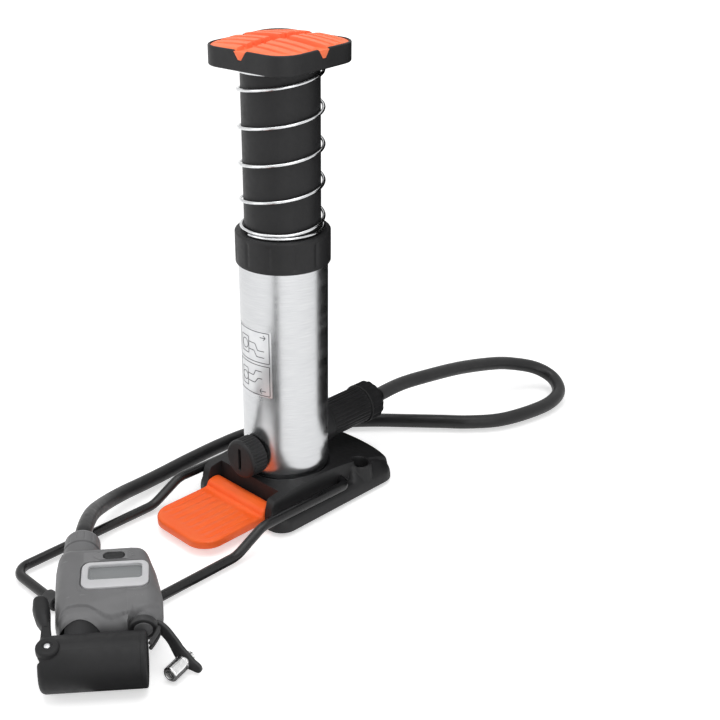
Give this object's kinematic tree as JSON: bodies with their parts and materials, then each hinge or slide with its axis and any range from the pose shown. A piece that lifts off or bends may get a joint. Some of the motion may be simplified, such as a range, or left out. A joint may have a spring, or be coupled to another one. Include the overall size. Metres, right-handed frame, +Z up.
{
  "type": "compact foot pump with gauge head",
  "caption": "Upright foot pump: barrel on a moulded base, sprung pedal piston, folding wire stand and foot tab, hose and gauge head with lever nozzle.",
  "frame": {"origin": "on the barrel's axis at floor level", "axes": "+Z up along the barrel, -Y towards the foot tab and the wire stand, +Y towards the hose gland"},
  "size_m": [0.148, 0.3991, 0.2444],
  "materials": {
    "black_moulding": "injection moulded black nylon, satin",
    "black_tube": "matt black tube, slightly rubbed",
    "rubber_black": "black rubber, matt",
    "hose_rubber": "black rubber hose, satin",
    "orange_rubber": "orange rubber, matt",
    "orange_plastic": "orange moulded plastic, satin",
    "brushed_aluminium": "drawn and brushed along the barrel",
    "bright_steel": "bright nickel plate",
    "plated_brass": "nickel plated, knurled",
    "brass": "turned",
    "stand_coating": "gloss black powder coat on steel rod",
    "grey_shell": "mid grey moulded ABS, fine texture",
    "light_grey_plastic": "light grey moulded ABS",
    "inner_plastic": "natural acetal",
    "label_film": null,
    "lens": "clear polished window",
    "lcd_grey": "reflective display, blank",
    "board_green": "solder mask"
  },
  "bodies": {
    "base": {"base_plate": "black_moulding", "base_feet": "rubber_black", "base_screws": "bright_steel", "barrel_tube": "brushed_aluminium", "barrel_plug": "brushed_aluminium", "plug_o_ring": "rubber_black", "barrel_bolt": "bright_steel", "barrel_collar": "black_moulding", "guide_bush": "inner_plastic", "info_label": "label_film", "hose_gland": "black_moulding", "gland_nut": "black_moulding", "gland_barb": "brass", "hose": "hose_rubber", "tab_pin": "bright_steel", "return_spring": "bright_steel"},
    "piston": {"piston_tube": "black_tube", "piston_head": "inner_plastic", "piston_seal": "rubber_black", "tube_plug": "inner_plastic", "pedal_shell": "black_moulding", "pedal_pad": "orange_rubber", "pedal_screw": "bright_steel"},
    "cap": {"valve_cap": "black_moulding", "cap_o_ring": "rubber_black"},
    "tab": {"foot_tab": "orange_plastic"},
    "stand": {"wire_stand": "stand_coating", "stand_sleeve": "rubber_black"},
    "head": {"head_upper": "grey_shell", "head_lower": "grey_shell", "display_bezel": "light_grey_plastic", "display_lens": "lens", "lcd_panel": "lcd_grey", "circuit_board": "board_green", "pressure_sensor": "bright_steel", "coin_cell": "bright_steel", "battery_door": "grey_shell", "head_screws": "bright_steel", "hose_barb": "brass", "nozzle_body": "black_moulding", "nozzle_cap": "black_moulding", "nozzle_grommet": "rubber_black", "lever_pin": "bright_steel", "adapter_strap": "rubber_black"},
    "lever": {"lock_lever": "black_moulding"},
    "button": {"power_button": "black_moulding"},
    "adapter": {"valve_adapter": "plated_brass"}
  },
  "joints": [
    {"name": "pedal_press", "type": "slide", "parent": "base", "child": "piston", "axis": [0, 0, -1], "range_m": [0, 0.07], "stiffness_N_per_m": 400, "springref_m": -0.02, "deforming": ["return_spring"]},
    {"name": "cap_turn", "type": "hinge", "parent": "base", "child": "cap", "pos_m": [0, -0.028, 0.0305], "axis": [0, -1, 0], "range_deg": [0, 180]},
    {"name": "tab_fold", "type": "hinge", "parent": "base", "child": "tab", "pos_m": [0, -0.033, 0.0065], "axis": [-1, 0, 0], "range_deg": [0, 78]},
    {"name": "stand_fold", "type": "hinge", "parent": "base", "child": "stand", "pos_m": [0, 0.013, 0.011], "axis": [-1, 0, 0], "range_deg": [0, 45], "deforming": ["hose"]},
    {"name": "head_lift", "type": "hinge", "parent": "stand", "child": "head", "pos_m": [-0.00255, -0.13054, 0.02414], "axis": [-0.6266, -0.7793, 0], "range_deg": [0, 40], "deforming": ["hose"]},
    {"name": "lever_flip", "type": "hinge", "parent": "head", "child": "lever", "pos_m": [0.05186, -0.18661, 0.01824], "axis": [0.1219, -0.098, 0.9877], "range_deg": [0, 90]},
    {"name": "button_press", "type": "slide", "parent": "head", "child": "button", "axis": [-0.1219, 0.098, -0.9877], "range_m": [0, 0.0004], "stiffness_N_per_m": 2000, "springref_m": -0.0002},
    {"name": "adapter_pull", "type": "slide", "parent": "head", "child": "adapter", "axis": [0.2707, -0.9627, 0], "range_m": [0, 0.008]}
  ]
}
